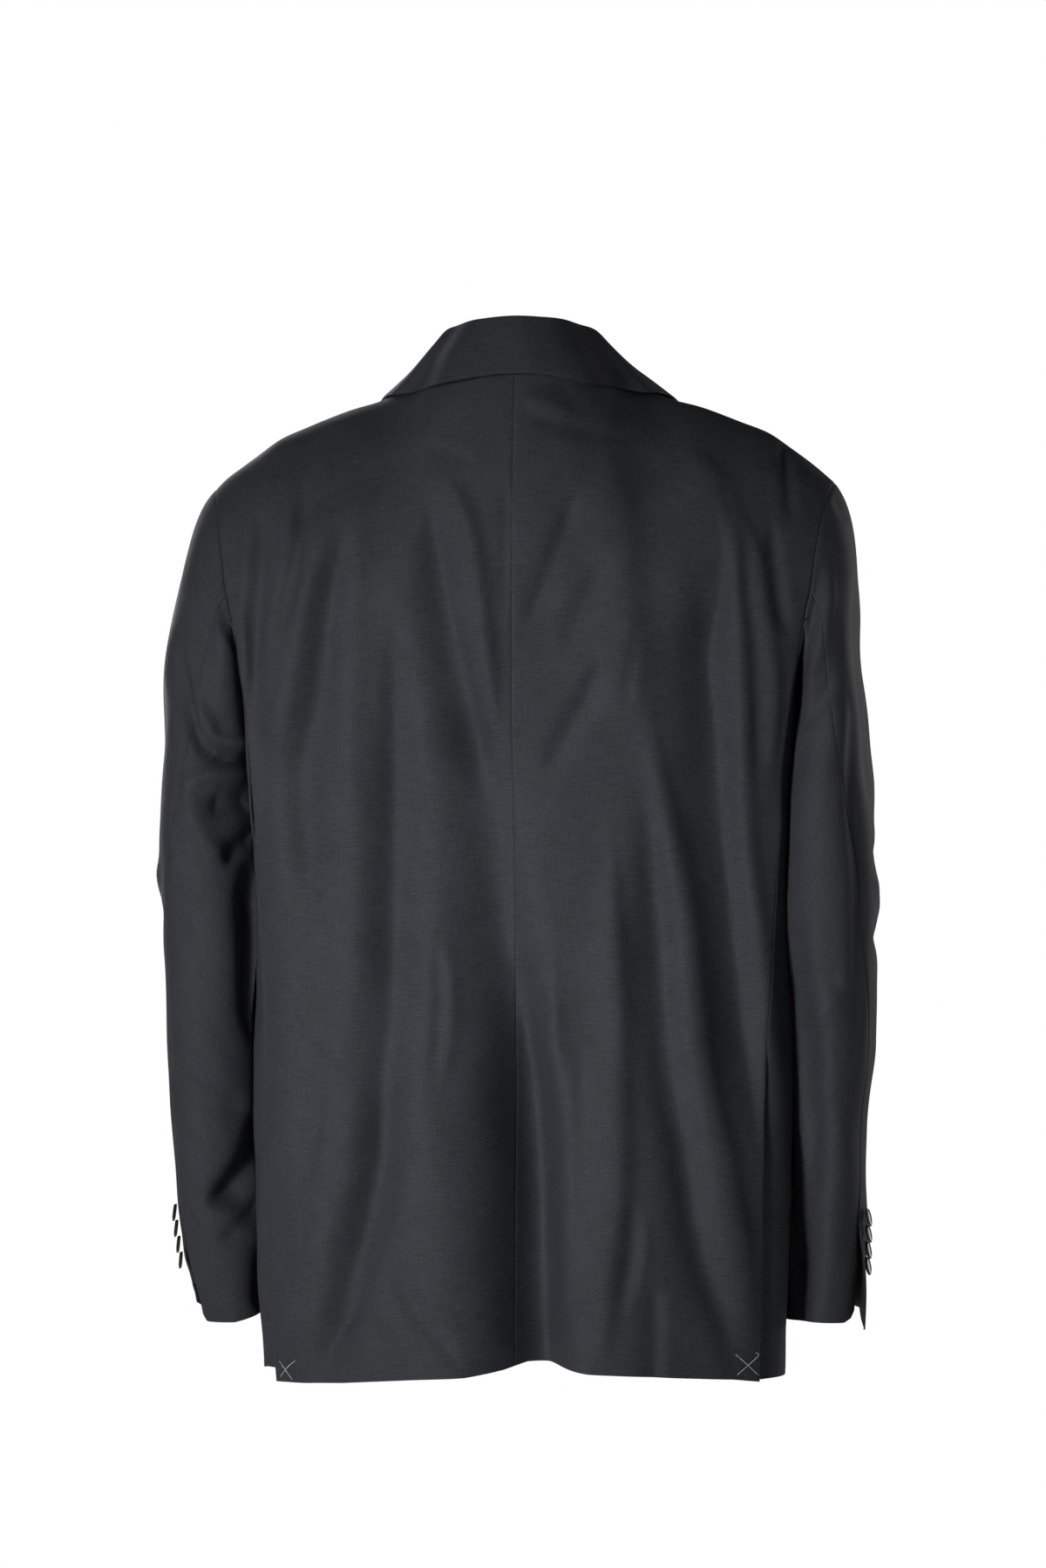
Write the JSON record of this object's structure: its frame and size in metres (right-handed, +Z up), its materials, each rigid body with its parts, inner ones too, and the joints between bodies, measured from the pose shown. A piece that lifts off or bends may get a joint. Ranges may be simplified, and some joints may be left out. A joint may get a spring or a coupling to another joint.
{
  "type": "tailored jacket",
  "caption": "Single-breasted tailored jacket in dark plain-weave wool, worn form, with notched lapels, side vents and two-piece sleeves.",
  "frame": {"origin": "middle of the neck opening at the height of the shoulder seams' neck ends", "axes": "+Z up, the fronts face -Y, the back faces +Y, the wearer's left is +X"},
  "size_m": [0.5681, 0.2638, 0.8393],
  "materials": {
    "suit_cloth": "plain-weave wool and mohair, soft sheen",
    "button_horn": "dark brown horn, polished",
    "white_thread": "white basting thread",
    "lining_cloth": "dark lining, smooth"
  },
  "bodies": {
    "root": {"back_left": "suit_cloth", "back_right": "suit_cloth", "side_left": "suit_cloth", "side_right": "suit_cloth", "front_left": "suit_cloth", "front_right": "suit_cloth", "top_sleeve_left": "suit_cloth", "top_sleeve_right": "suit_cloth", "under_sleeve_left": "suit_cloth", "under_sleeve_right": "suit_cloth", "lapel_left": "suit_cloth", "lapel_right": "suit_cloth", "collar": "suit_cloth", "pocket_flap_left": "suit_cloth", "pocket_flap_right": "suit_cloth", "breast_welt": "suit_cloth", "front_button_1": "button_horn", "front_button_2": "button_horn", "cuff_button_left_1": "button_horn", "cuff_button_left_2": "button_horn", "cuff_button_left_3": "button_horn", "cuff_button_left_4": "button_horn", "cuff_button_right_1": "button_horn", "cuff_button_right_2": "button_horn", "cuff_button_right_3": "button_horn", "cuff_button_right_4": "button_horn"}
  },
  "joints": []
}
